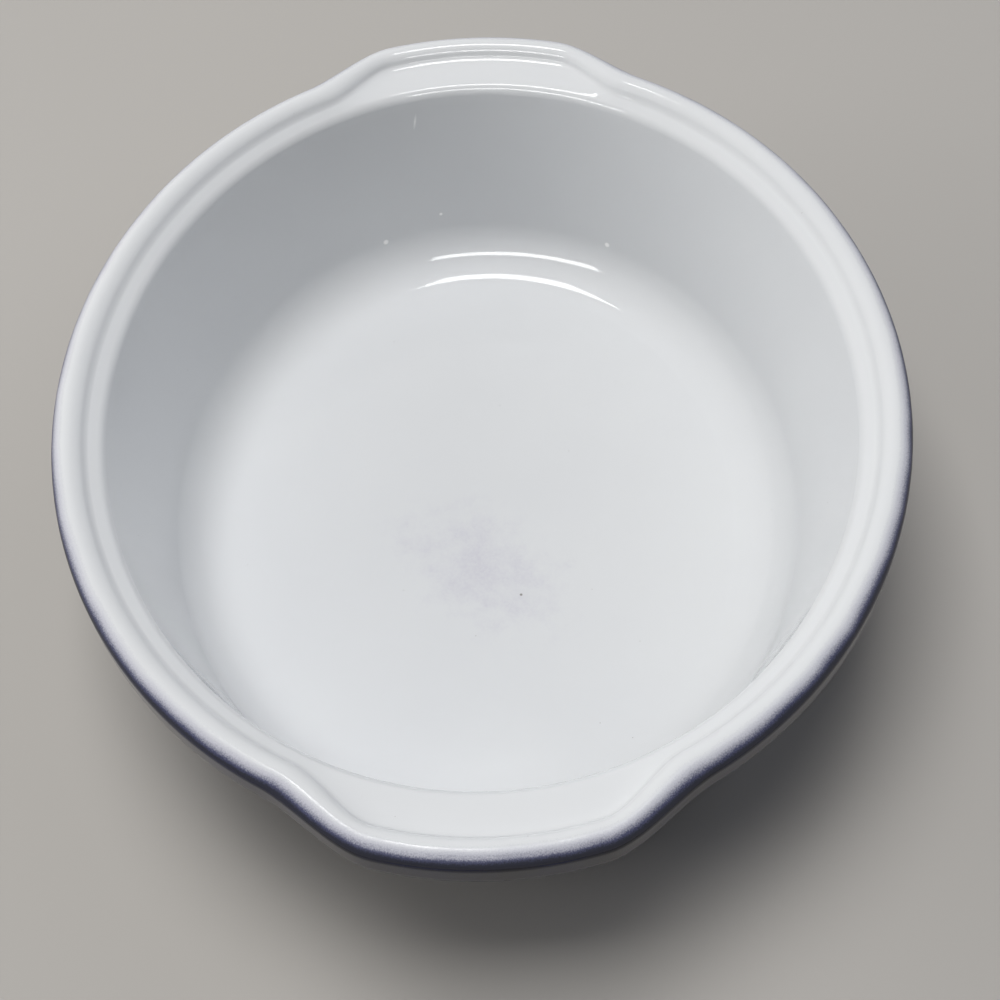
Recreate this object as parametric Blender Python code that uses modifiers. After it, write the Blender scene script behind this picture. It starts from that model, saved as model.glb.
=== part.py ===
# Oval baking dish with two lug handles: one stoneware moulding and its three glaze coats.
# Units are metres, +Z is up, +Y points to the back lug, and the foot ring stands on z = 0.
# The finished surface is a loft. Its section is drawn as "out", the distance outwards from the
# groove line in plan, and a height, and both lugs are blended into the lip's part of it.

import math

import bmesh
import bpy

# Overall sizes of the finished dish, glaze included
RIM_WIDTH = 0.2422           # across the lip, side to side
RIM_LENGTH = 0.2740          # across the lip, end to end, without the lugs
HEIGHT = 0.081               # from the table to the top of the bead

# Lug handles, one at each end
LUG_REACH = 0.0078           # how far the lip's outer edge swings out past the oval
SEAT_REACH = 0.0084          # how far the groove and the ledge's start do
LUG_HALF_WIDTH = 0.0386      # on the lip's outer edge, to the middle of a shoulder
LUG_SHOULDER = 0.0254        # length of a shoulder on the lip's outer edge
SEAT_HALF_WIDTH = 0.0376     # the last two sizes on the groove, where the corner is tighter
SEAT_SHOULDER = 0.0200

# Lip: a raised bead, a groove inside it and a ledge that falls to the bowl
LIP_OVERHANG = 0.0089        # from the groove line to the lip's outer edge
BEAD_RISE = 0.0041           # from the bead's widest level to its top
BEAD_HALF_WIDTH = 0.0046
BEAD_TURN = 158.0            # degrees round the bead, from its outer edge to the groove
GROOVE_INSET = 0.0004        # from the groove line to the groove's hollow
GROOVE_DEPTH = 0.0033        # below the top of the bead
SEAT_INSET = 0.0008          # from the groove line to where the ledge starts
SEAT_DEPTH = 0.0037          # and how far below the top of the bead it does
LEDGE_WIDTH = 0.00255        # of the ledge's straight part, away from the lugs
LEDGE_SLOPE = math.radians(31.0)
LEDGE_RADIUS = 0.0042        # round from the ledge into the wall
LIP_FACE = 0.0050            # height of the outer face below the bead's widest level
LIP_TOE_RADIUS = 0.0026      # round from the outer face to the lip's underside
HOLLOW_RADIUS = 0.0032       # from the lip's underside into the wall

# Wall, floor and foot
WALL_DRAFT = math.radians(12.5)
WALL_THICKNESS = 0.0065
FLOOR_THICKNESS = 0.0063
FLOOR_FILLET = 0.019         # inside, from wall to floor
HEEL_RADIUS = 0.024          # outside, from wall to foot
HEEL_LEVEL = 0.0016          # lowest level of the heel's curve
FOOT_INSET = 0.0295          # from the groove line in to the foot ring
FOOT_WIDTH = 0.0060
FOOT_TAPER = 0.0005          # lean of each side of the foot ring
FOOT_RECESS = 0.0020         # height of the base inside the foot ring

# Glaze coats
GLAZE = 0.0006
CLEARANCE = 0.0003           # between a coat and the clay
COAT_GAP = 0.0005            # along the surface, from the white's edge to the blue's
WHITE_TURN = 25.0            # degrees round the bead, from its outer edge to the white's edge
DRY_MARGIN = 0.0012          # bare clay between a coat's edge and the foot ring

# Faceting
LUG_SPAN = math.radians(60.0)
LUG_STEPS = 18               # round each lug's span
SIDE_STEPS = 18              # round each side, between the lugs
BEAD_STEPS = 6
BEND_STEPS = 4               # round the floor's fillet and round the heel
EDGE_STEPS = 3               # round the ledge's edge
SMALL_STEPS = 2              # round each small radius

GROOVE_A = RIM_WIDTH / 2 - LIP_OVERHANG
GROOVE_B = RIM_LENGTH / 2 - LIP_OVERHANG
BEAD_OUT = LIP_OVERHANG - BEAD_HALF_WIDTH
BEAD_LEVEL = HEIGHT - BEAD_RISE
EDGE_OUT = LEDGE_RADIUS * math.sin(LEDGE_SLOPE) - LEDGE_WIDTH - SEAT_INSET
EDGE_LEVEL = HEIGHT - SEAT_DEPTH - LEDGE_WIDTH * math.tan(LEDGE_SLOPE) \
    - LEDGE_RADIUS * math.cos(LEDGE_SLOPE)
FLOOR_LEVEL = FOOT_RECESS + FLOOR_THICKNESS
FOOT_OUT = -FOOT_INSET
LEAN = math.degrees(WALL_DRAFT)


def clear_scene():
    for old in list(bpy.data.objects):
        bpy.data.objects.remove(old, do_unlink=True)


def finish(name, colour, roughness):
    made = bpy.data.materials.new(name)
    made.use_nodes = True
    shader = made.node_tree.nodes["Principled BSDF"]
    shader.inputs["Base Color"].default_value = (*colour, 1.0)
    shader.inputs["Roughness"].default_value = roughness
    shader.inputs["Metallic"].default_value = 0.0
    made.diffuse_color = (*colour, 1.0)
    return made


def mix(low, high, share):
    return low + (high - low) * share


def smooth_step(share):
    share = min(max(share, 0.0), 1.0)
    return share * share * (3.0 - 2.0 * share)


def arc(out, level, radius, start, end, steps, radius_up=None):
    """Points on a round or an elliptic arc of the section, between two angles in degrees."""
    points = []
    for step in range(steps + 1):
        turn = math.radians(mix(start, end, step / steps))
        points.append((out + radius * math.cos(turn),
                       level + (radius_up or radius) * math.sin(turn)))
    return points


def wall_out(level):
    """The inner face of the wall, straight and drafted, tangent to the ledge's round."""
    return EDGE_OUT - LEDGE_RADIUS / math.cos(WALL_DRAFT) - (EDGE_LEVEL - level) * math.tan(WALL_DRAFT)


def bend_centre(bottom, radius, skin):
    """Centre of a bend that is tangent to a level below and to the wall moved out by skin."""
    tangent = bottom + radius * (1.0 - math.sin(WALL_DRAFT))
    face = wall_out(tangent) + skin / math.cos(WALL_DRAFT)
    return face - radius * math.cos(WALL_DRAFT), bottom + radius


def bowl_section():
    """From the edge of the flat floor, up the wall, to the round at the ledge."""
    out, level = bend_centre(FLOOR_LEVEL, FLOOR_FILLET, 0.0)
    fillet = arc(out, level, FLOOR_FILLET, -90.0, -LEAN, BEND_STEPS)
    edge = arc(EDGE_OUT, EDGE_LEVEL, LEDGE_RADIUS,
               180.0 - LEAN, 90.0 + math.degrees(LEDGE_SLOPE), EDGE_STEPS)
    return fillet + edge


def bead_section(start, end, steps):
    """Over the bead, between two turns in degrees from its widest level."""
    return arc(BEAD_OUT, BEAD_LEVEL, BEAD_HALF_WIDTH, start, end, steps, BEAD_RISE)


def toe_section():
    """Round the lower corner of the lip's outer face."""
    return arc(LIP_OVERHANG - LIP_TOE_RADIUS, BEAD_LEVEL - LIP_FACE, LIP_TOE_RADIUS,
               0.0, -90.0, SMALL_STEPS)


def outer_section():
    """From the hollow under the lip, down the outside, to where the blue coat ends."""
    underside = toe_section()[-1][1]
    level = underside - HOLLOW_RADIUS
    face = wall_out(level) + WALL_THICKNESS / math.cos(WALL_DRAFT)
    hollow = arc(face + HOLLOW_RADIUS / math.cos(WALL_DRAFT), level, HOLLOW_RADIUS,
                 90.0, 180.0 - LEAN, SMALL_STEPS)
    out, level = bend_centre(HEEL_LEVEL, HEEL_RADIUS, WALL_THICKNESS)
    reach = (FOOT_OUT + DRY_MARGIN - out) / HEEL_RADIUS
    heel = arc(out, level, HEEL_RADIUS, -LEAN, -math.degrees(math.acos(reach)), BEND_STEPS)
    return hollow + heel


def foot_section():
    """The dry foot: where it leaves the heel, its flat sole and its inner side."""
    heel_out, heel_level = bend_centre(HEEL_LEVEL, HEEL_RADIUS, WALL_THICKNESS)
    root = heel_level - math.sqrt(HEEL_RADIUS ** 2 - (FOOT_OUT - heel_out) ** 2)
    sole = FOOT_OUT - FOOT_TAPER
    return [(FOOT_OUT, root), (sole, 0.0), (sole - FOOT_WIDTH, 0.0),
            (sole - FOOT_WIDTH - FOOT_TAPER, FOOT_RECESS)]


def ring_angles():
    """Angles round the oval, closer together round the two lugs."""
    side_span = math.pi - LUG_SPAN
    angles = []
    for lug_middle in (math.pi / 2, 3 * math.pi / 2):
        start = lug_middle - LUG_SPAN / 2
        angles += [start + LUG_SPAN * step / LUG_STEPS for step in range(LUG_STEPS)]
        start += LUG_SPAN
        angles += [start + side_span * step / SIDE_STEPS for step in range(SIDE_STEPS)]
    return angles


def ring(out, level, lug=0.0, lip=0.0):
    """One loop round the dish. The oval is offset outwards by out, and lug is the share of the
    lugs' reach. lip blends from the groove's reach and shoulders, 0, to the outer edge's, 1.
    """
    reach = mix(SEAT_REACH, LUG_REACH, lip)
    half = mix(SEAT_HALF_WIDTH, LUG_HALF_WIDTH, lip)
    shoulder = mix(SEAT_SHOULDER, LUG_SHOULDER, lip)
    points = []
    for angle in ring_angles():
        x, y = GROOVE_A * math.cos(angle), GROOVE_B * math.sin(angle)
        across, along = math.cos(angle) / GROOVE_A, math.sin(angle) / GROOVE_B
        scale = out / math.hypot(across, along)
        swing = lug * reach * smooth_step((half - abs(x)) / shoulder + 0.5)
        points.append((x + across * scale, y + along * scale + math.copysign(swing, y), level))
    return points


def rings(section, lug=0.0, lip=0.0):
    return [ring(out, level, lug, lip) for out, level in section]


def bowl_rings():
    """Inside of the bowl, ledge, groove and bead, to the edge of the white coat."""
    loops = rings(bowl_section())
    loops += rings([(-SEAT_INSET, HEIGHT - SEAT_DEPTH),
                    (-GROOVE_INSET, HEIGHT - GROOVE_DEPTH)], lug=1.0)
    for step, (out, level) in enumerate(bead_section(BEAD_TURN, WHITE_TURN, BEAD_STEPS)):
        loops.append(ring(out, level, lug=1.0, lip=step / BEAD_STEPS))
    return loops


def outside_rings():
    """The bead's outer side, the lip's underside, the wall and the heel, which the blue coats."""
    blue_turn = WHITE_TURN - math.degrees(COAT_GAP / BEAD_RISE)
    lip_side = bead_section(blue_turn, 0.0, SMALL_STEPS) + toe_section()
    return rings(lip_side, lug=1.0, lip=1.0) + rings(outer_section())


def base_ring():
    """Edge of the base coat, inside the foot ring."""
    return ring(foot_section()[-1][0] - DRY_MARGIN, FOOT_RECESS)


def loft(name, loops, look, start=None, end=None):
    """Skin the loops in order, so that the faces look outwards where the loops run from the
    bowl's floor over the lip. start and end are the levels of centre points that close an end.
    """
    shape = bmesh.new()
    rows = [[shape.verts.new(point) for point in loop] for loop in loops]
    for lower, upper in zip(rows, rows[1:]):
        for i in range(len(lower)):
            shape.faces.new((lower[i], lower[i - 1], upper[i - 1], upper[i]))
    if start is not None:
        centre = shape.verts.new((0.0, 0.0, start))
        for i in range(len(rows[0])):
            shape.faces.new((rows[0][i - 1], rows[0][i], centre))
    if end is not None:
        centre = shape.verts.new((0.0, 0.0, end))
        for i in range(len(rows[-1])):
            shape.faces.new((rows[-1][i], rows[-1][i - 1], centre))
    data = bpy.data.meshes.new(name)
    shape.to_mesh(data)
    shape.free()
    data.shade_smooth()
    data.materials.append(look)
    made = bpy.data.objects.new(name, data)
    dish.objects.link(made)
    return made


def coat(shell):
    """Give a skin of the finished surface the glaze's thickness, inwards."""
    thick = shell.modifiers.new("glaze_thickness", "SOLIDIFY")
    thick.thickness = GLAZE
    thick.offset = -1.0
    thick.use_even_offset = True


def make_body():
    """The clay: the finished surface, drawn in under the coats but not at the dry foot."""
    coated = bowl_rings() + outside_rings()
    foot = rings(foot_section())
    body = loft("stoneware_body", coated + foot + [base_ring()], clay,
                start=FLOOR_LEVEL, end=FOOT_RECESS)
    loop_size = len(foot[0])
    dry = range(len(coated) * loop_size, (len(coated) + len(foot)) * loop_size)
    group = body.vertex_groups.new(name="glazed")
    group.add([vert.index for vert in body.data.vertices if vert.index not in dry], 1.0, "ADD")
    room = body.modifiers.new("room_for_glaze", "DISPLACE")
    room.direction = "NORMAL"
    room.mid_level = 0.0
    room.strength = -(GLAZE + CLEARANCE)
    room.vertex_group = "glazed"
    return body


clear_scene()
dish = bpy.data.collections.new("oval_baking_dish")
bpy.context.scene.collection.children.link(dish)

clay = finish("fired_stoneware", colour=(0.56, 0.47, 0.36), roughness=0.85)
white = finish("white_glaze", colour=(0.80, 0.81, 0.80), roughness=0.12)
blue = finish("dark_blue_glaze", colour=(0.012, 0.018, 0.045), roughness=0.14)

make_body()
coat(loft("white_liner_glaze", bowl_rings(), white, start=FLOOR_LEVEL))
coat(loft("blue_wall_glaze", outside_rings(), blue))
coat(loft("blue_base_glaze", [base_ring()], blue, end=FOOT_RECESS))
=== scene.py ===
# Oval baking dish with two lug handles: white glaze inside, very dark blue glaze outside
import math
from collections import namedtuple

import bpy
from mathutils import Matrix, Vector


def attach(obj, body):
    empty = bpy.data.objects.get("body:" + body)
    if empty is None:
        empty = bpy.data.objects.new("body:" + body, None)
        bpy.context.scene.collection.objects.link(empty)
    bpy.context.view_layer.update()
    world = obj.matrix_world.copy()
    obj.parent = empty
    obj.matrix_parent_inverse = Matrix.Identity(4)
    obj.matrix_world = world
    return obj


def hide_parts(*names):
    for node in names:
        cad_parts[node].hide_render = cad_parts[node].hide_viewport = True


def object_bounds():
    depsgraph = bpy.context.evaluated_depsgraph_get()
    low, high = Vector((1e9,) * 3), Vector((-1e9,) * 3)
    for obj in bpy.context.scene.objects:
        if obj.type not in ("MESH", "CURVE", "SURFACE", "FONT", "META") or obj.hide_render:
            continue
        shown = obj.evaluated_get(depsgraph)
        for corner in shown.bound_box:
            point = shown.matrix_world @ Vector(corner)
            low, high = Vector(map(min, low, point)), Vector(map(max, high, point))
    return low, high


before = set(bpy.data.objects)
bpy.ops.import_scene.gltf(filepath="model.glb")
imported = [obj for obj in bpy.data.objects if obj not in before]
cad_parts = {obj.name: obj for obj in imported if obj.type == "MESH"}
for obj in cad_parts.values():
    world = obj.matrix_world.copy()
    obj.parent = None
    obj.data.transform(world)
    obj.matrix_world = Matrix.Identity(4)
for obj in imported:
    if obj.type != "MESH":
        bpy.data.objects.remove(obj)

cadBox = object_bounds()
cadSize = cadBox[1] - cadBox[0]
mm = 0.001


def hexColour(code):
    # sRGB hex to the linear values that shaders work in
    channels = [int(code[i:i + 2], 16) / 255 for i in (1, 3, 5)]
    linear = [c / 12.92 if c <= 0.04045 else ((c + 0.055) / 1.055) ** 2.4 for c in channels]
    return (*linear, 1.0)


def addNode(tree, kind, inputs=None, **settings):
    # Adds a node with its settings, and sets or links its inputs by name or by number
    made = tree.nodes.new(kind)
    for setting, value in settings.items():
        setattr(made, setting, value)
    for socket, value in (inputs or {}).items():
        if isinstance(value, bpy.types.Node):
            value = value.outputs[0]
        if isinstance(value, bpy.types.NodeSocket):
            tree.links.new(value, made.inputs[socket])
        else:
            made.inputs[socket].default_value = value
    return made


def linkObject(name, data):
    made = bpy.data.objects.new(name, data)
    bpy.context.scene.collection.objects.link(made)
    return made


# Camera, at the photograph's angle
print("Camera")
shot = {
    "lens": 55.8,               # mm
    "sensor": 36.0,             # mm across
    "nearClip": 10.0,           # mm
    "distance": 417.3,          # mm, from the point that it aims at
    "aim": (4.1, -41.8, 79.0),  # mm
    "elevation": 56.52,         # degrees above the table
    "roll": -2.79,
    "turn": 1.05,               # round the dish's upright axis
}


def makeCamera():
    data = bpy.data.cameras.new("camera")
    data.sensor_width = shot["sensor"]
    data.lens = shot["lens"]
    data.clip_start = shot["nearClip"] * mm
    camera = linkObject("camera", data)
    turn = Matrix.Rotation(math.radians(shot["turn"]), 4, "Z")
    aim = Matrix.Translation([length * mm for length in shot["aim"]])
    tilt = Matrix.Rotation(math.radians(90 - shot["elevation"]), 4, "X")
    back = Matrix.Translation((0, 0, shot["distance"] * mm))
    roll = Matrix.Rotation(math.radians(shot["roll"]), 4, "Z")
    camera.matrix_world = turn @ aim @ tilt @ back @ roll
    bpy.context.scene.camera = camera


makeCamera()


# Plain studio: a pale floor that turns into the backdrop, four soft lamps that light the dish but
# aren't mirrored in it, and two that light nothing and show only where the glaze mirrors them
print("Studio")
studio = {
    "floorSize": 12.0,          # m
    "floorColour": "#B1AEAA",
    "floorRoughness": 0.9,
    "sweepStart": 0.35,         # m from the dish, where the floor begins to turn into the backdrop
    "sweepEnd": 2.0,
    "skyColour": "#EEF1F6",
    "skyLight": 0.03,
    "backdrop": "#C9CACC",
}
softLamps = {                   # size and place in m, power in W
    "overhead": {
        "size": (0.9, 0.9), "place": (-0.23, 0.1, 1.7), "power": 24.9, "colour": "#FFFEFC"},
    "leftFill": {
        "size": (0.6, 1.6), "place": (-1.5, 0.18, 0.52), "power": 11.6, "colour": "#FFFEFC"},
    "backFill": {
        "size": (0.85, 0.85), "place": (1.15, 1.15, 0.76), "power": 3.7, "colour": "#EEF3FF"},
    "rightFill": {
        "size": (0.85, 0.85), "place": (1.1, 0.0, 1.3), "power": 1.9, "colour": "#EEF3FF"},
}
mirroredLamps = {
    "aboveDish": {
        "size": (0.43, 0.3), "place": (-0.115, 0.425, 1.6), "power": 4.1, "colour": "#FFFFFF"},
    "frontOfDish": {
        "size": (1.56, 0.2), "place": (-0.32, -0.93, 1.2), "power": 9.8, "colour": "#FFFFFF"},
}


def seenRays(tree):
    # 1 for the rays that show the backdrop, 0 for those that only light things
    rays = addNode(tree, "ShaderNodeLightPath").outputs
    seen = addNode(tree, "ShaderNodeMath", {
        0: rays["Is Camera Ray"], 1: rays["Is Glossy Ray"]}, operation="MAXIMUM")
    return addNode(tree, "ShaderNodeMath", {
        0: seen, 1: rays["Is Transmission Ray"]}, operation="MAXIMUM")


def makeFloor():
    half = studio["floorSize"] / 2
    data = bpy.data.meshes.new("studioFloor")
    corners = [(-half, -half, 0), (half, -half, 0), (half, half, 0), (-half, half, 0)]
    data.from_pydata(corners, [], [(0, 1, 2, 3)])
    paint = bpy.data.materials.new("pale floor paint")
    paint.use_nodes = True
    tree = paint.node_tree
    shader = tree.nodes["Principled BSDF"]
    shader.inputs["Base Color"].default_value = hexColour(studio["floorColour"])
    shader.inputs["Roughness"].default_value = studio["floorRoughness"]
    spot = addNode(tree, "ShaderNodeTexCoord").outputs["Object"]
    away = addNode(tree, "ShaderNodeVectorMath", {0: spot}, operation="LENGTH").outputs["Value"]
    far = addNode(tree, "ShaderNodeMapRange", {
        "Value": away, "From Min": studio["sweepStart"], "From Max": studio["sweepEnd"]},
        interpolation_type="SMOOTHSTEP")
    far = addNode(tree, "ShaderNodeMath", {0: far, 1: seenRays(tree)}, operation="MULTIPLY")
    backdrop = addNode(tree, "ShaderNodeEmission", {"Color": hexColour(studio["backdrop"])})
    mixed = addNode(tree, "ShaderNodeMixShader", {0: far, 1: shader, 2: backdrop})
    tree.links.new(mixed.outputs[0], tree.nodes["Material Output"].inputs["Surface"])
    data.materials.append(paint)
    linkObject("studioFloor", data)


def makeLamp(name, lamp, mirrored):
    data = bpy.data.lights.new(name, "AREA")
    data.shape = "RECTANGLE"
    data.size, data.size_y = lamp["size"]
    data.energy = lamp["power"]
    data.color = hexColour(lamp["colour"])[:3]
    made = linkObject(name, data)
    # Its back away from the dish, and its long side as near to X as that allows
    back = Vector(lamp["place"]).normalized()
    long = (Vector((1, 0, 0)) - back * back.x).normalized()
    turned = Matrix((long, back.cross(long), back)).transposed().to_4x4()
    made.matrix_world = Matrix.Translation(lamp["place"]) @ turned
    made.visible_glossy = mirrored
    made.visible_diffuse = not mirrored


def makeSky():
    world = bpy.data.worlds.new("studioSky")
    bpy.context.scene.world = world
    world.use_nodes = True
    tree = world.node_tree
    tree.nodes.clear()
    light = addNode(tree, "ShaderNodeBackground", {
        "Color": hexColour(studio["skyColour"]), "Strength": studio["skyLight"]})
    backdrop = addNode(tree, "ShaderNodeBackground", {"Color": hexColour(studio["backdrop"])})
    mixed = addNode(tree, "ShaderNodeMixShader", {0: seenRays(tree), 1: light, 2: backdrop})
    addNode(tree, "ShaderNodeOutputWorld", {"Surface": mixed})


makeFloor()
makeSky()
for name, lamp in softLamps.items():
    makeLamp(name, lamp, mirrored=False)
for name, lamp in mirroredLamps.items():
    makeLamp(name, lamp, mirrored=True)
bpy.context.scene.view_settings.view_transform = "Standard"


# The dish's section. out is the distance outwards from the groove line in plan, in mm, and level
# the height above the table. lug is the station's share of the lugs' reach, lip runs from the
# groove's tight shoulders, 0, to the outer edge's, 1, floor draws the flat floor in to its middle,
# and spray is how far past the middle of the sprayed edge a station lies, blue side positive.
print("Section")
dish = {
    "lipOverhang": 8.9,         # from the groove line out to the lip's edge
    "lugReach": 7.8,            # how far the lip's edge swings out past the oval
    "lugHalfWidth": 38.6,       # on the lip's edge, to the middle of a shoulder
    "lugShoulder": 25.4,
    "seatReach": 8.4,           # the same three on the groove
    "seatHalfWidth": 37.6,
    "seatShoulder": 20.0,
    "lugSetIn": 0.9,            # share of the ledge's stations over which the lugs set in
    "beadRise": 4.1,            # from the bead's widest level to its top
    "beadHalfWidth": 4.6,
    "beadInnerTurn": 152,       # degrees round the bead, from its outer edge to the groove
    "seatInset": 1.3,
    "seatDepth": 4.0,
    "ledgeWidth": 2.05,
    "ledgeSlope": 31,           # degrees
    "ledgeRadius": 4.2,
    "lipFace": 5.0,
    "lipToeRadius": 2.6,
    "hollowRadius": 3.2,
    "wallDraft": 11.5,          # degrees
    "wallThickness": 6.5,
    "floorThickness": 7.3,
    "floorFillet": 18.0,
    "heelRadius": 24.0,
    "heelLevel": 1.6,
    "footInset": 29.5,
    "footWidth": 6.0,
    "footTaper": 0.5,
    "footRecess": 2.0,
    "footRound": 0.7,
    "footRoundShare": 0.45,     # of an edge, the most that one of its rounds takes
    "dryMargin": 1.2,           # bare clay beside the foot ring
    "glaze": 0.5,
    "seamTurn": 22,             # degrees, where the white coat ends on the bead
    "seamGap": 0.01,
    "sprayTurn": 50,            # degrees, the middle of the sprayed edge
}
cuts = {                        # how many steps each stretch of the section is cut into
    "floor": 14,
    "fillet": 24,
    "wall": 16,
    "ledgeRound": 14,
    "ledge": 12,
    "flank": 10,
    "bead": 44,
    "beadSide": 8,
    "lipFace": 6,
    "lipToe": 10,
    "lipUnderside": 8,
    "hollow": 10,
    "outerWall": 14,
    "heel": 24,
    "footCorner": 6,
    "coatEnd": 6,
}
halfWidth = cadSize.x / mm / 2 - dish["lipOverhang"]
halfLength = cadSize.y / mm / 2 - dish["lipOverhang"] - dish["lugReach"]
rimHeight = cadSize.z / mm
draft = math.radians(dish["wallDraft"])
slope = math.radians(dish["ledgeSlope"])
beadOut = dish["lipOverhang"] - dish["beadHalfWidth"]
beadLevel = rimHeight - dish["beadRise"]
edgeOut = dish["ledgeRadius"] * math.sin(slope) - dish["ledgeWidth"] - dish["seatInset"]
edgeLevel = (rimHeight - dish["seatDepth"] - dish["ledgeWidth"] * math.tan(slope)
             - dish["ledgeRadius"] * math.cos(slope))
floorLevel = dish["footRecess"] + dish["floorThickness"]
farWhite, farBlue = -100.0, 100.0   # mm, well clear of the sprayed edge

Station = namedtuple("Station", "out level lug lip floor spray", defaults=(0.0, 0.0, 1.0, farWhite))


def arc(out, level, radius, startTurn, endTurn, steps):
    turns = [math.radians(startTurn + (endTurn - startTurn) * i / steps) for i in range(steps + 1)]
    return [(out + radius * math.cos(turn), level + radius * math.sin(turn)) for turn in turns]


def wallOut(level):
    # The wall's inner face, tangent to the ledge's round
    return edgeOut - dish["ledgeRadius"] / math.cos(draft) - (edgeLevel - level) * math.tan(draft)


def bendCentre(bottom, radius, skin):
    # Centre of a bend that is tangent to a level below and to the wall moved out by skin
    tangent = bottom + radius * (1 - math.sin(draft))
    return wallOut(tangent) + skin / math.cos(draft) - radius * math.cos(draft), bottom + radius


def between(start, end, steps):
    # Points from start up to, but not at, end
    return [tuple(a + (b - a) * i / steps for a, b in zip(start, end)) for i in range(steps)]


def easeInOut(share):
    share = min(max(share, 0.0), 1.0)
    return share * share * (3 - 2 * share)


def quadratic(start, handle, end, steps):
    points = []
    for i in range(1, steps + 1):
        t = i / steps
        points.append(tuple((1 - t) ** 2 * a + 2 * t * (1 - t) * b + t * t * c
                            for a, b, c in zip(start, handle, end)))
    return points


def bowlStations():
    # Floor, fillet, wall and the ledge's round: a plain oval at every level
    out, level = bendCentre(floorLevel, dish["floorFillet"], 0)
    fillet = arc(out, level, dish["floorFillet"], -90, -dish["wallDraft"], cuts["fillet"])
    edge = arc(edgeOut, edgeLevel, dish["ledgeRadius"],
               180 - dish["wallDraft"], 90 + dish["ledgeSlope"], cuts["ledgeRound"])
    flat = [Station(out, floorLevel, floor=i / cuts["floor"]) for i in range(cuts["floor"])]
    wall = between(fillet[-1], edge[0], cuts["wall"])[1:]
    return flat + [Station(*point) for point in fillet + wall + edge]


def beadPoint(turn):
    turn = math.radians(turn)
    return (beadOut + dish["beadHalfWidth"] * math.cos(turn),
            beadLevel + dish["beadRise"] * math.sin(turn))


def ledgeStations(start):
    # From the ledge's round to the bead's inner flank, where the lugs' reach sets in
    seat = (-dish["seatInset"], rimHeight - dish["seatDepth"])
    flank = beadPoint(dish["beadInnerTurn"])
    fall = math.tan(slope)
    innerTurn = math.radians(dish["beadInnerTurn"])
    rise = -dish["beadRise"] / (dish["beadHalfWidth"] * math.tan(innerTurn))
    handleOut = (flank[1] - seat[1] + fall * seat[0] - rise * flank[0]) / (fall - rise)
    handle = (handleOut, seat[1] + fall * (handleOut - seat[0]))
    ledge = between(start, seat, cuts["ledge"])[1:]
    points = ledge + [seat] + quadratic(seat, handle, flank, cuts["flank"])
    reached = dish["lugSetIn"] * len(points)
    return [Station(*point, lug=easeInOut((i + 1) / reached)) for i, point in enumerate(points)]


def beadStations(startTurn, endTurn, steps):
    stations = []
    for i in range(steps + 1):
        turn = startTurn + (endTurn - startTurn) * i / steps
        spray = math.radians(dish["sprayTurn"] - turn) * dish["beadRise"]
        lip = min((dish["beadInnerTurn"] - turn) / (dish["beadInnerTurn"] - dish["seamTurn"]), 1)
        stations.append(Station(*beadPoint(turn), lug=1, lip=lip, spray=spray))
    return stations


def linerStations():
    bowl = bowlStations()
    ledge = ledgeStations(bowl[-1][:2])
    return bowl + ledge + beadStations(dish["beadInnerTurn"], dish["seamTurn"], cuts["bead"])[1:]


def outsideStations():
    # The bead's outer side, the lip's face and underside, the hollow, the wall and the heel
    seamEnd = dish["seamTurn"] - math.degrees(dish["seamGap"] / dish["beadRise"])
    toe = arc(dish["lipOverhang"] - dish["lipToeRadius"], beadLevel - dish["lipFace"],
              dish["lipToeRadius"], 0, -90, cuts["lipToe"])
    face = between(beadPoint(0), toe[0], cuts["lipFace"])[1:]
    hollowLevel = toe[-1][1] - dish["hollowRadius"]
    outer = wallOut(hollowLevel) + dish["wallThickness"] / math.cos(draft)
    hollow = arc(outer + dish["hollowRadius"] / math.cos(draft), hollowLevel, dish["hollowRadius"],
                 90, 180 - dish["wallDraft"], cuts["hollow"])
    out, level = bendCentre(dish["heelLevel"], dish["heelRadius"], dish["wallThickness"])
    reach = (-dish["footInset"] + dish["dryMargin"] - out) / dish["heelRadius"]
    heelEnd = -math.degrees(math.acos(reach))
    heel = arc(out, level, dish["heelRadius"], -dish["wallDraft"], heelEnd, cuts["heel"])
    wall = between(hollow[-1], heel[0], cuts["outerWall"])[1:]
    lip = [Station(*point, lug=1, lip=1, spray=farBlue) for point in face + toe]
    under = []
    for point in between(toe[-1], hollow[0], cuts["lipUnderside"])[1:]:
        share = (point[0] - hollow[0][0]) / (toe[-1][0] - hollow[0][0])
        under.append(Station(*point, lug=share, lip=1, spray=farBlue))
    side = beadStations(seamEnd, 0, cuts["beadSide"])
    return side + lip + under + [Station(*point, spray=farBlue) for point in hollow + wall + heel]


def footStations():
    # The dry ring: down its outer side, across the sole and up its inner side, corners rounded
    out, level = bendCentre(dish["heelLevel"], dish["heelRadius"], dish["wallThickness"])
    root = level - math.sqrt(dish["heelRadius"] ** 2 - (dish["footInset"] + out) ** 2)
    outer = -dish["footInset"] - dish["footTaper"]
    inner = outer - dish["footWidth"]
    corners = [(-dish["footInset"], root), (outer, 0), (inner, 0),
               (inner - dish["footTaper"], dish["footRecess"])]
    ends = [(-dish["footInset"] + dish["dryMargin"], root), *corners,
            (corners[-1][0] - dish["dryMargin"], dish["footRecess"])]
    points = []
    for before, corner, after in zip(ends, ends[1:], ends[2:]):
        shares = [min(dish["footRound"] / math.dist(corner, other), dish["footRoundShare"])
                  for other in (before, after)]
        start, end = [tuple(c + (o - c) * share for c, o in zip(corner, other))
                      for share, other in zip(shares, (before, after))]
        points += [start] + quadratic(start, corner, end, cuts["footCorner"])
    return [Station(*point) for point in points]


def baseStations():
    edge = footStations()[-1].out - dish["dryMargin"]
    return [Station(edge, dish["footRecess"], floor=1 - i / cuts["floor"], spray=farBlue)
            for i in range(cuts["floor"] + 1)]


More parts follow.
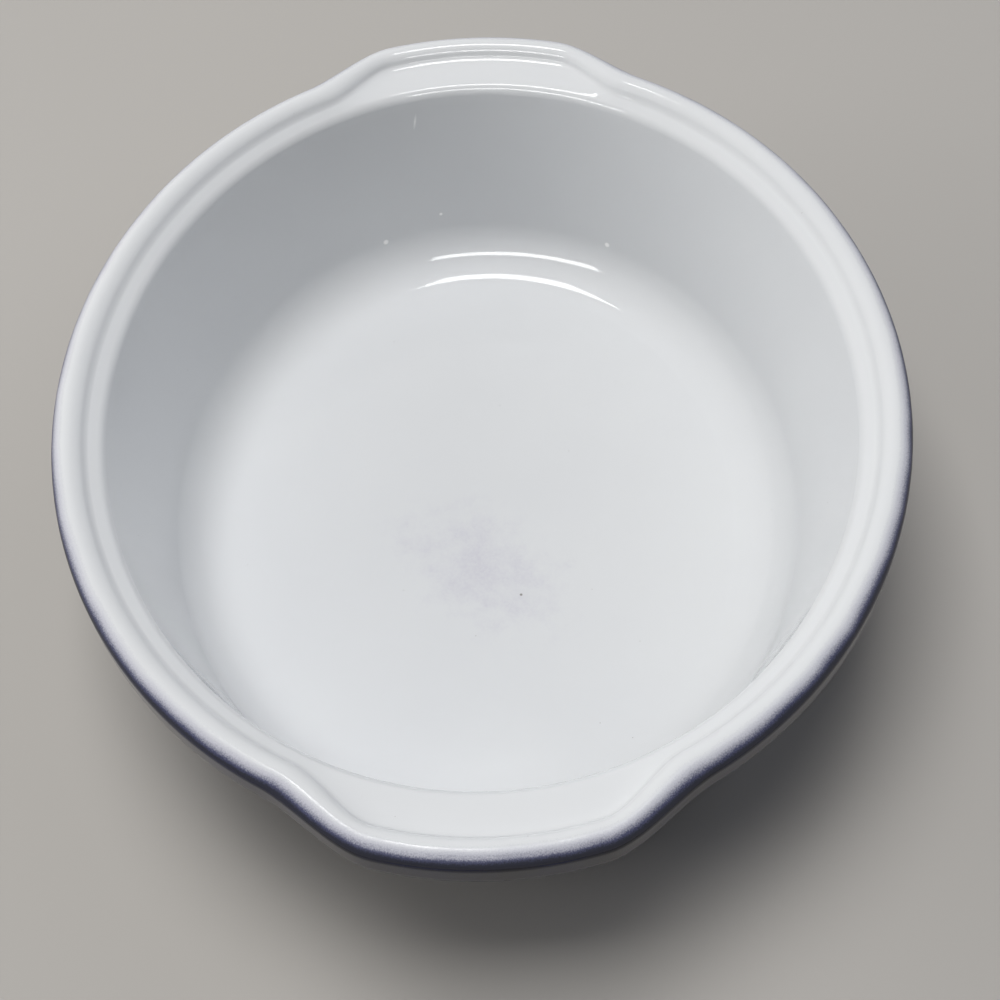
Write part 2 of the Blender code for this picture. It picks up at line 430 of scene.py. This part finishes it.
def insetStations(stations, depth):
    # The same stations moved in from the finished surface
    moved = []
    for i, station in enumerate(stations):
        before, after = stations[max(i - 1, 0)], stations[min(i + 1, len(stations) - 1)]
        along = (halfWidth + after.out) * after.floor - (halfWidth + before.out) * before.floor
        up = after.level - before.level
        size = math.hypot(along, up)
        sideways = -up / size * depth if station.floor == 1 else 0
        down = along / size * depth
        moved.append(station._replace(out=station.out - sideways, level=station.level - down))
    return moved


def roundedEnd(outer, inner):
    # Half a round from the last outer station to the last inner one
    middle = [(a + b) / 2 for a, b in zip(outer[:2], inner[:2])]
    across = [(a - b) / 2 for a, b in zip(outer[:2], inner[:2])]
    points = []
    for i in range(1, cuts["coatEnd"]):
        turn = math.pi * i / cuts["coatEnd"]
        cos, sin = math.cos(turn), math.sin(turn)
        points.append(outer._replace(out=middle[0] + across[0] * cos + across[1] * sin,
                                     level=middle[1] + across[1] * cos - across[0] * sin))
    return points


# The sweep: one Geometry Nodes tree carries a section round the oval and swings it into the lugs
print("Sweep")
sweep = {
    "roundSteps": 360,
    "wobbleHeight": 0.05,       # mm, the slow unevenness of a glazed surface
    "wobbleWidth": 26.0,        # mm
    "wobbleFrom": 2.0,          # mm above the table, so that the foot stays flat
    "wobbleFull": 12.0,
    "mergeWithin": 0.001,       # mm
    "sharpAngle": 38,           # degrees
}
sweepAttributes = ("lugShare", "lipShare", "floorShare", "ovalX", "ovalEnd")


def makeSweepTree():
    tree = bpy.data.node_groups.new("ovalSweep", "GeometryNodeTree")
    tree.interface.new_socket("Geometry", in_out="OUTPUT", socket_type="NodeSocketGeometry")
    tree.interface.new_socket("Section", in_out="INPUT", socket_type="NodeSocketGeometry")
    for name in ("Half Width", "Half Length", "Lug Reach", "Lug Half Width", "Lug Shoulder",
                 "Seat Reach", "Seat Half Width", "Seat Shoulder", "Wobble Height", "Wobble Width",
                 "Wobble From", "Wobble Full"):
        tree.interface.new_socket(name, in_out="INPUT", socket_type="NodeSocketFloat")
    tree.interface.new_socket("Round Steps", in_out="INPUT", socket_type="NodeSocketInt")
    tree.interface.new_socket("Finish", in_out="INPUT", socket_type="NodeSocketMaterial")
    given = addNode(tree, "NodeGroupInput").outputs
    position = addNode(tree, "GeometryNodeInputPosition")
    stored = {}
    for name in sweepAttributes:
        stored[name] = addNode(tree, "GeometryNodeInputNamedAttribute", {
            "Name": name}, data_type="FLOAT")

    # The oval, which remembers each of its points' place across the dish and which end it is at
    section = addNode(tree, "GeometryNodeMeshToCurve", {"Mesh": given["Section"]})
    circle = addNode(tree, "GeometryNodeCurvePrimitiveCircle", {
        "Resolution": given["Round Steps"], "Radius": 1.0})
    stretch = addNode(tree, "ShaderNodeCombineXYZ", {
        0: given["Half Width"], 1: given["Half Length"], 2: 1.0})
    oval = addNode(tree, "GeometryNodeTransform", {"Geometry": circle, "Scale": stretch})
    place = addNode(tree, "ShaderNodeSeparateXYZ", {0: position}).outputs
    end = addNode(tree, "ShaderNodeMath", {0: place["Y"]}, operation="SIGN")
    oval = addNode(tree, "GeometryNodeStoreNamedAttribute", {
        "Geometry": oval, "Name": "ovalX", "Value": place["X"]}, data_type="FLOAT")
    oval = addNode(tree, "GeometryNodeStoreNamedAttribute", {
        "Geometry": oval, "Name": "ovalEnd", "Value": end}, data_type="FLOAT")
    oval = addNode(tree, "GeometryNodeSetCurveNormal", {"Curve": oval}, mode="Z_UP")
    swept = addNode(tree, "GeometryNodeCurveToMesh", {"Curve": oval, "Profile Curve": section})

    # The flat floor and the base are drawn in to their middle
    shares = addNode(tree, "ShaderNodeCombineXYZ", {
        0: stored["floorShare"], 1: stored["floorShare"], 2: 1.0})
    drawnIn = addNode(tree, "ShaderNodeVectorMath", {0: position, 1: shares}, operation="MULTIPLY")
    swept = addNode(tree, "GeometryNodeSetPosition", {"Geometry": swept, "Position": drawnIn})

    # The lugs: the lip swings out past the oval between two smooth shoulders
    reach = addNode(tree, "ShaderNodeMix", {
        0: stored["lipShare"], 2: given["Seat Reach"], 3: given["Lug Reach"]}, data_type="FLOAT")
    half = addNode(tree, "ShaderNodeMix", {
        0: stored["lipShare"], 2: given["Seat Half Width"], 3: given["Lug Half Width"]},
        data_type="FLOAT")
    shoulder = addNode(tree, "ShaderNodeMix", {
        0: stored["lipShare"], 2: given["Seat Shoulder"], 3: given["Lug Shoulder"]},
        data_type="FLOAT")
    inner = addNode(tree, "ShaderNodeMath", {
        0: shoulder, 1: -0.5, 2: half}, operation="MULTIPLY_ADD")
    outer = addNode(tree, "ShaderNodeMath", {
        0: shoulder, 1: 0.5, 2: half}, operation="MULTIPLY_ADD")
    across = addNode(tree, "ShaderNodeMath", {0: stored["ovalX"]}, operation="ABSOLUTE")
    swing = addNode(tree, "ShaderNodeMapRange", {
        "Value": across, "From Min": inner, "From Max": outer,
        "To Min": reach, "To Max": 0.0}, interpolation_type="SMOOTHSTEP")
    swing = addNode(tree, "ShaderNodeMath", {0: swing, 1: stored["lugShare"]}, operation="MULTIPLY")
    swing = addNode(tree, "ShaderNodeMath", {0: swing, 1: stored["ovalEnd"]}, operation="MULTIPLY")
    swing = addNode(tree, "ShaderNodeCombineXYZ", {1: swing})
    swept = addNode(tree, "GeometryNodeSetPosition", {"Geometry": swept, "Offset": swing})

    # The slow unevenness of the glaze, as real shape, fading out towards the foot
    scale = addNode(tree, "ShaderNodeMath", {0: 1.0, 1: given["Wobble Width"]}, operation="DIVIDE")
    noise = addNode(tree, "ShaderNodeTexNoise", {"Vector": position, "Scale": scale, "Detail": 1.0})
    swell = addNode(tree, "ShaderNodeMath", {0: noise, 1: 2.0, 2: -1.0}, operation="MULTIPLY_ADD")
    level = addNode(tree, "ShaderNodeSeparateXYZ", {0: position}).outputs["Z"]
    height = addNode(tree, "ShaderNodeMapRange", {
        "Value": level, "From Min": given["Wobble From"], "From Max": given["Wobble Full"],
        "To Min": 0.0, "To Max": given["Wobble Height"]}, interpolation_type="SMOOTHSTEP")
    rise = addNode(tree, "ShaderNodeMath", {0: swell, 1: height}, operation="MULTIPLY")
    normal = addNode(tree, "GeometryNodeInputNormal")
    wobble = addNode(tree, "ShaderNodeVectorMath", {0: normal, "Scale": rise}, operation="SCALE")
    swept = addNode(tree, "GeometryNodeSetPosition", {"Geometry": swept, "Offset": wobble})

    swept = addNode(tree, "GeometryNodeMergeByDistance", {
        "Geometry": swept, "Distance": sweep["mergeWithin"] * mm})
    swept = addNode(tree, "GeometryNodeRealizeInstances", {"Geometry": swept})
    swept = addNode(tree, "GeometryNodeSetMaterial", {
        "Geometry": swept, "Material": given["Finish"]})
    addNode(tree, "NodeGroupOutput", {"Geometry": swept})
    return tree


sweepTree = makeSweepTree()


def sweptPiece(name, stations, finish, closed=False):
    # The section as a line of vertices, swept, and kept as a plain mesh
    line = bpy.data.meshes.new("section")
    edges = [(i, i + 1) for i in range(len(stations) - 1)]
    if closed:
        edges.append((len(stations) - 1, 0))
    line.from_pydata([(s.out * mm, -s.level * mm, 0) for s in stations], edges, [])
    for attribute, values in {
        "lugShare": [s.lug for s in stations],
        "lipShare": [s.lip for s in stations],
        "floorShare": [s.floor for s in stations],
        "sprayDepth": [s.spray * mm for s in stations],
    }.items():
        line.attributes.new(attribute, "FLOAT", "POINT").data.foreach_set("value", values)
    section = linkObject("section", line)
    modifier = section.modifiers.new("sweep", "NODES")
    modifier.node_group = sweepTree
    sizes = {
        "Half Width": halfWidth, "Half Length": halfLength,
        "Lug Reach": dish["lugReach"], "Lug Half Width": dish["lugHalfWidth"],
        "Lug Shoulder": dish["lugShoulder"], "Seat Reach": dish["seatReach"],
        "Seat Half Width": dish["seatHalfWidth"], "Seat Shoulder": dish["seatShoulder"],
        "Wobble Height": sweep["wobbleHeight"], "Wobble Width": sweep["wobbleWidth"],
        "Wobble From": sweep["wobbleFrom"], "Wobble Full": sweep["wobbleFull"],
    }
    sockets = {item.name: item.identifier for item in sweepTree.interface.items_tree}
    for size, value in sizes.items():
        modifier[sockets[size]] = value * mm
    modifier[sockets["Round Steps"]] = sweep["roundSteps"]
    modifier[sockets["Finish"]] = finish
    depsgraph = bpy.context.evaluated_depsgraph_get()
    shape = bpy.data.meshes.new_from_object(section.evaluated_get(depsgraph))
    bpy.data.objects.remove(section, do_unlink=True)
    shape.name = name
    for attribute in sweepAttributes:
        shape.attributes.remove(shape.attributes[attribute])
    shape.shade_smooth()
    shape.set_sharp_from_angle(angle=math.radians(sweep["sharpAngle"]))
    return linkObject(name, shape)


# Finishes
print("Finishes")


def newFinish(name):
    made = bpy.data.materials.new(name)
    made.use_nodes = True
    return made, made.node_tree, made.node_tree.nodes["Principled BSDF"]


spray = {
    "fade": 2.2,                # mm either side of the middle
    "lean": 3.0,                # mm per m, how much further the mist reaches to the right
    "frontReach": 1.5,          # mm, how much further in it reaches at the front lug
    "drift": 0.35,              # mm, slow wander of the edge
    "driftWidth": 14.0,
    "dropReach": 0.4,           # mm, how far single droplets carry
    "dropWidth": 0.35,          # mm, drawn coarser than real mist so that it shows
    "noiseSpan": (0.25, 0.75),  # the range that the noise seldom leaves
    "mistAt": 0.45,             # of the way through the fade, where the mist has its own colour
    "deepAt": 0.8,              # where it has its deep one, and the plain blue glaze begins
    "dullFrom": 0.02,           # where the white's gloss begins to go, and where it is gone
    "dullFull": 0.2,
    "mist": "#B7B8C2",
    "deep": "#3E4160",
    "roughness": 0.36,          # of the mist, whose droplets stand proud
}
whiteGlaze = {
    "colour": "#D5D7DA",
    "pale": "#DADCDE",          # where the glaze lies thicker
    "thick": "#FFFFFF",         # painted highlight: pure white for the glints off a run and small bumps in the glaze
    "cloudWidth": 45.0,         # mm
    "roughness": 0.06,
    "ior": 1.54,
    "pinWidth": 4.5,            # mm between pinholes
    "pinSize": 0.13,            # mm, drawn coarser than real ones so that they show
    "pinShare": 0.12,           # of the places that have one
    "pinColour": "#8C8A88",
}
scuff = {                       # the worn patch on the floor, mm
    "centre": (-2.5, -20.5, 9.3),
    "half": (31.0, 19.0, 6.0),
    "turn": -42.0,              # degrees
    "ragged": 2.4,              # the most that noise adds to the reach, which is 1 at the half size
    "raggedWidth": 8.0,
    "full": 1.0,                # up to this reach the patch is fully worn
    "none": 2.4,                # and here it ends
    "grain": 0.9,
    "grainSpan": (0.35, 0.65),
    "grainLeast": 0.6,          # of the wear, between the grains
    "colour": "#CCCCD4",
    "roughness": 0.10,
}
paintedGlintLine = {                      # painted highlight: a slim white line down the back wall, standing in for the glint off a small run in the glaze, mm
    "centre": (-20.3, 119.0, 66.1),
    "half": (0.5, 2.0, 3.4),
    "turn": 10.0,               # degrees, from upright
}
specks = (                      # single dark specks: place and size across, mm
    ((9.8, -31.1, 9.3), 0.9),
    ((97.7, 38.5, 77.0), 0.6),
    ((99.0, 33.0, 77.0), 0.5),
)
paintedGlintSpots = (                       # painted highlights: white spots standing in for glints off small bumps in the glaze: place and size across, mm
    ((-33.5, 105.6, 23.1), 1.9),
    ((-13.8, 112.7, 28.8), 1.2),
    ((44.0, 100.4, 23.4), 1.8),
    ((-34.9, -134.9, 80.6), 0.9),
    ((-56.8, -118.0, 80.6), 0.8),
    ((33.3, -136.2, 80.6), 0.8),
)
markFade = {"from": 0.3, "to": 0.6}     # of a speck's or a painted highlight spot's size, out from its middle
blueGlaze = {
    "colour": "#0C1026",
    "pale": "#181F42",          # where the glaze lies thinner
    "paleSpan": (0.35, 0.7),    # of the noise
    "cloudWidth": 18.0,
    "roughness": 0.1,
    "ior": 1.42,
    "peelHeight": 0.008,
    "peelWidth": 2.2,
}
clay = {
    "colour": "#B9A384",
    "dark": "#8E7A5E",
    "roughness": 0.88,
    "grain": 0.5,               # mm, drawn coarser than the clay's sand so that it shows
    "grainSpan": (0.35, 0.65),
    "grainHeight": 0.03,
}


def sprayedColour(tree, white, blue):
    # Blue glaze sprayed from outside over the white's edge, so the white fades into it in a fine
    # mist. Gives the colour, and the blue's share for the gloss.
    spot = addNode(tree, "ShaderNodeTexCoord").outputs["Object"]
    depth = addNode(tree, "ShaderNodeAttribute", attribute_name="sprayDepth").outputs["Fac"]
    place = addNode(tree, "ShaderNodeSeparateXYZ", {0: spot}).outputs
    depth = addNode(tree, "ShaderNodeMath", {
        0: place["X"], 1: spray["lean"] * mm, 2: depth}, operation="MULTIPLY_ADD")
    front = addNode(tree, "ShaderNodeMapRange", {
        "Value": place["Y"], "From Max": -cadSize.y / 2, "To Max": spray["frontReach"] * mm})
    depth = addNode(tree, "ShaderNodeMath", {0: depth, 1: front}, operation="ADD")
    low, high = spray["noiseSpan"]
    for width, reach in (
        (spray["driftWidth"], spray["drift"]),
        (spray["dropWidth"], spray["dropReach"]),
    ):
        noise = addNode(tree, "ShaderNodeTexNoise", {
            "Vector": spot, "Scale": 1 / (width * mm), "Detail": 1.0})
        moved = addNode(tree, "ShaderNodeMapRange", {
            "Value": noise, "From Min": low, "From Max": high,
            "To Min": -reach * mm, "To Max": reach * mm})
        depth = addNode(tree, "ShaderNodeMath", {0: depth, 1: moved}, operation="ADD")
    share = addNode(tree, "ShaderNodeMapRange", {
        "Value": depth, "From Min": -spray["fade"] * mm, "From Max": spray["fade"] * mm})
    ramp = addNode(tree, "ShaderNodeValToRGB", {"Fac": share})
    stops = ramp.color_ramp.elements
    stops[0].color = hexColour(spray["mist"])
    stops[0].position = spray["mistAt"]
    stops[1].color = hexColour(spray["deep"])
    stops[1].position = spray["deepAt"]
    covered = addNode(tree, "ShaderNodeMapRange", {"Value": share, "From Max": spray["mistAt"]})
    full = addNode(tree, "ShaderNodeMapRange", {"Value": share, "From Min": spray["deepAt"]})
    misted = addNode(tree, "ShaderNodeMix", {
        0: covered, 6: white, 7: ramp}, data_type="RGBA").outputs[2]
    colour = addNode(tree, "ShaderNodeMix", {
        0: full, 6: misted, 7: blue}, data_type="RGBA").outputs[2]
    return colour, share


def patchReach(tree, spot, patch, turn):
    # Distance from an oval patch's middle, 1 at its edge
    spread = addNode(tree, "ShaderNodeMapping", {
        "Vector": spot, "Location": [length * mm for length in patch["centre"]], "Rotation": turn,
        "Scale": [length * mm for length in patch["half"]]}, vector_type="TEXTURE")
    return addNode(tree, "ShaderNodeVectorMath", {0: spread}, operation="LENGTH").outputs["Value"]


def marked(tree, spot, share, marks):
    # Adds small round marks to a share
    for place, size in marks:
        away = addNode(tree, "ShaderNodeVectorMath", {
            0: spot, 1: [length * mm for length in place]}, operation="DISTANCE").outputs["Value"]
        mark = addNode(tree, "ShaderNodeMapRange", {
            "Value": away, "From Min": size * markFade["from"] * mm,
            "From Max": size * markFade["to"] * mm,
            "To Min": 1.0, "To Max": 0.0})
        share = addNode(tree, "ShaderNodeMath", {0: share, 1: mark}, operation="MAXIMUM")
    return share


def makeWhiteGlaze():
    # Opaque white liner glaze, fired glossy: a hard mirror-like skin over a soft white
    made, tree, shader = newFinish("glossy white liner glaze")
    spot = addNode(tree, "ShaderNodeTexCoord").outputs["Object"]
    cloud = addNode(tree, "ShaderNodeTexNoise", {
        "Vector": spot, "Scale": 1 / (whiteGlaze["cloudWidth"] * mm), "Detail": 2.0})
    white = addNode(tree, "ShaderNodeMix", {
        0: cloud, 6: hexColour(whiteGlaze["colour"]), 7: hexColour(whiteGlaze["pale"])},
        data_type="RGBA").outputs[2]

    # The scuff: a ragged patch of fine marks that are a little greyer and duller
    reach = patchReach(tree, spot, scuff, (0, 0, math.radians(scuff["turn"])))
    ragged = addNode(tree, "ShaderNodeTexNoise", {
        "Vector": spot, "Scale": 1 / (scuff["raggedWidth"] * mm), "Detail": 4.0, "Roughness": 0.65})
    reach = addNode(tree, "ShaderNodeMath", {
        0: ragged, 1: scuff["ragged"], 2: reach}, operation="MULTIPLY_ADD")
    patch = addNode(tree, "ShaderNodeMapRange", {
        "Value": reach, "From Min": scuff["full"], "From Max": scuff["none"],
        "To Min": 1.0, "To Max": 0.0}, interpolation_type="SMOOTHSTEP")
    grain = addNode(tree, "ShaderNodeTexNoise", {
        "Vector": spot, "Scale": 1 / (scuff["grain"] * mm), "Detail": 2.0})
    grain = addNode(tree, "ShaderNodeMapRange", {
        "Value": grain, "From Min": scuff["grainSpan"][0], "From Max": scuff["grainSpan"][1],
        "To Min": scuff["grainLeast"]})
    patch = addNode(tree, "ShaderNodeMath", {0: patch, 1: grain}, operation="MULTIPLY")
    white = addNode(tree, "ShaderNodeMix", {
        0: patch, 6: white, 7: hexColour(scuff["colour"])}, data_type="RGBA").outputs[2]
    roughness = addNode(tree, "ShaderNodeMapRange", {
        "Value": patch, "To Min": whiteGlaze["roughness"], "To Max": scuff["roughness"]})
    # Painted highlights: pure white in a slim line and in small spots, where a run and bumps in the
    # glaze would glint; the bumps aren't modelled
    thick = addNode(tree, "ShaderNodeMapRange", {
        "Value": patchReach(tree, spot, paintedGlintLine, (0, math.radians(paintedGlintLine["turn"]), 0)),
        "From Max": 1.0, "To Min": 1.0, "To Max": 0.0})
    thick = marked(tree, spot, thick, paintedGlintSpots)
    white = addNode(tree, "ShaderNodeMix", {
        0: thick, 6: white, 7: hexColour(whiteGlaze["thick"])}, data_type="RGBA").outputs[2]

    # Pinholes: a few of a field of cells have a tiny dark pit at their middle
    cells = addNode(tree, "ShaderNodeTexVoronoi", {
        "Vector": spot, "Scale": 1 / (whiteGlaze["pinWidth"] * mm)})
    pit = addNode(tree, "ShaderNodeMath", {
        0: cells.outputs["Distance"], 1: whiteGlaze["pinSize"] / whiteGlaze["pinWidth"]},
        operation="LESS_THAN")
    picked = addNode(tree, "ShaderNodeSeparateColor", {0: cells.outputs["Color"]})
    picked = addNode(tree, "ShaderNodeMath", {
        0: picked, 1: whiteGlaze["pinShare"]}, operation="LESS_THAN")
    pit = addNode(tree, "ShaderNodeMath", {0: pit, 1: picked}, operation="MULTIPLY")
    pit = marked(tree, spot, pit, specks)
    white = addNode(tree, "ShaderNodeMix", {
        0: pit, 6: white, 7: hexColour(whiteGlaze["pinColour"])}, data_type="RGBA").outputs[2]

    colour, share = sprayedColour(tree, white, hexColour(blueGlaze["colour"]))
    roughness = addNode(tree, "ShaderNodeMapRange", {
        "Value": share, "From Min": spray["dullFrom"], "From Max": spray["dullFull"],
        "To Min": roughness, "To Max": spray["roughness"]})
    tree.links.new(colour, shader.inputs["Base Color"])
    tree.links.new(roughness.outputs[0], shader.inputs["Roughness"])
    shader.inputs["IOR"].default_value = whiteGlaze["ior"]
    return made


def makeBlueGlaze():
    # Cobalt glaze so deep that it reads nearly black, blue only where it lies thin
    made, tree, shader = newFinish("glossy dark blue glaze")
    spot = addNode(tree, "ShaderNodeTexCoord").outputs["Object"]
    cloud = addNode(tree, "ShaderNodeTexNoise", {
        "Vector": spot, "Scale": 1 / (blueGlaze["cloudWidth"] * mm), "Detail": 3.0})
    low, high = blueGlaze["paleSpan"]
    thin = addNode(tree, "ShaderNodeMapRange", {"Value": cloud, "From Min": low, "From Max": high})
    blue = addNode(tree, "ShaderNodeMix", {
        0: thin, 6: hexColour(blueGlaze["colour"]), 7: hexColour(blueGlaze["pale"])},
        data_type="RGBA").outputs[2]
    peel = addNode(tree, "ShaderNodeTexNoise", {
        "Vector": spot, "Scale": 1 / (blueGlaze["peelWidth"] * mm), "Detail": 1.0})
    skin = addNode(tree, "ShaderNodeBump", {
        "Height": peel, "Strength": 1.0, "Distance": blueGlaze["peelHeight"] * mm})
    colour, share = sprayedColour(tree, hexColour(whiteGlaze["colour"]), blue)
    roughness = addNode(tree, "ShaderNodeMapRange", {
        "Value": share, "From Min": spray["deepAt"],
        "To Min": spray["roughness"], "To Max": blueGlaze["roughness"]})
    tree.links.new(colour, shader.inputs["Base Color"])
    tree.links.new(roughness.outputs[0], shader.inputs["Roughness"])
    tree.links.new(skin.outputs[0], shader.inputs["Normal"])
    shader.inputs["IOR"].default_value = blueGlaze["ior"]
    return made


def makeClay():
    # Unglazed fired stoneware: dry, sandy and matt, with darker grains
    made, tree, shader = newFinish("dry fired stoneware")
    spot = addNode(tree, "ShaderNodeTexCoord").outputs["Object"]
    sand = addNode(tree, "ShaderNodeTexNoise", {
        "Vector": spot, "Scale": 1 / (clay["grain"] * mm), "Detail": 3.0})
    low, high = clay["grainSpan"]
    sand = addNode(tree, "ShaderNodeMapRange", {"Value": sand, "From Min": low, "From Max": high})
    colour = addNode(tree, "ShaderNodeMix", {
        0: sand, 6: hexColour(clay["dark"]), 7: hexColour(clay["colour"])},
        data_type="RGBA").outputs[2]
    bump = addNode(tree, "ShaderNodeBump", {
        "Height": sand, "Strength": 1.0, "Distance": clay["grainHeight"] * mm})
    tree.links.new(colour, shader.inputs["Base Color"])
    tree.links.new(bump.outputs[0], shader.inputs["Normal"])
    shader.inputs["Roughness"].default_value = clay["roughness"]
    return made


whiteFinish = makeWhiteGlaze()
blueFinish = makeBlueGlaze()
clayFinish = makeClay()


# The four pieces. The clay's face is the back of the coats, and is bare only at the foot ring.
liner = linerStations()
outside = outsideStations()
base = baseStations()
linerBack, outsideBack, baseBack = [
    insetStations(stations, dish["glaze"]) for stations in (liner, outside, base)]

print("Clay body")
body = sweptPiece("clayBody", linerBack + outsideBack + footStations() + baseBack, clayFinish)

print("White liner coat")
whiteCoat = sweptPiece("whiteLinerCoat", liner + linerBack[::-1], whiteFinish)

print("Blue wall coat")
wallEnd = roundedEnd(outside[-1], outsideBack[-1])
wallLine = outside + wallEnd + outsideBack[::-1]
blueCoat = sweptPiece("blueWallCoat", wallLine, blueFinish, closed=True)

print("Blue base coat")
baseEnd = roundedEnd(baseBack[0], base[0])
baseCoat = sweptPiece("blueBaseCoat", baseBack[::-1] + baseEnd + base, blueFinish)

for piece, node, slot in (
    (body, "stoneware_body", "fired_stoneware"),
    (whiteCoat, "white_liner_glaze", "white_glaze"),
    (blueCoat, "blue_wall_glaze", "dark_blue_glaze"),
    (baseCoat, "blue_base_glaze", "dark_blue_glaze"),
):
    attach(piece, "root")
    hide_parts(node)
    print(piece.name, len(piece.data.polygons), "faces")
